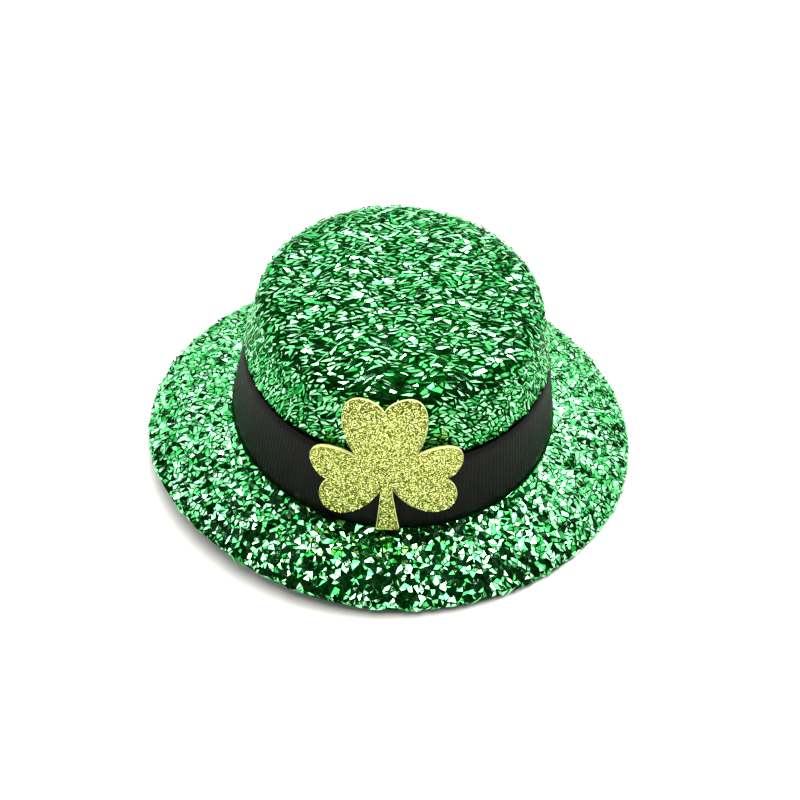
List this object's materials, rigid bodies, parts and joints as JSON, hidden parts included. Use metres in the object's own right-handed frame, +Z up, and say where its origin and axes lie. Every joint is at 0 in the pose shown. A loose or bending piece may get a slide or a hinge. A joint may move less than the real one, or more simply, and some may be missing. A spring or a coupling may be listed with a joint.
{
  "type": "clip-on hat",
  "caption": "Small rounded party hat of green foil cloth with an oval brim, ribbed black ribbon band, glitter foam shamrock on its front and a hair clip under the brim.",
  "frame": {"origin": "on the floor under the middle of the hat's outline, as it rests on its clip and the brim's right edge", "axes": "+Z up from the floor, +X to the hat's right as seen from its front, -Y towards the shamrock"},
  "size_m": [0.1304, 0.1216, 0.0576],
  "materials": {
    "foil_cloth": "chopped metallic foil on cloth",
    "ribbon": "ribbed, slight sheen",
    "glitter_foam": "fine glitter face on pale foam",
    "clip_steel": "plain sprung steel"
  },
  "bodies": {
    "root": {"crown": "foil_cloth", "brim": "foil_cloth", "band": "ribbon", "shamrock": "glitter_foam", "clip": "clip_steel"}
  },
  "joints": []
}
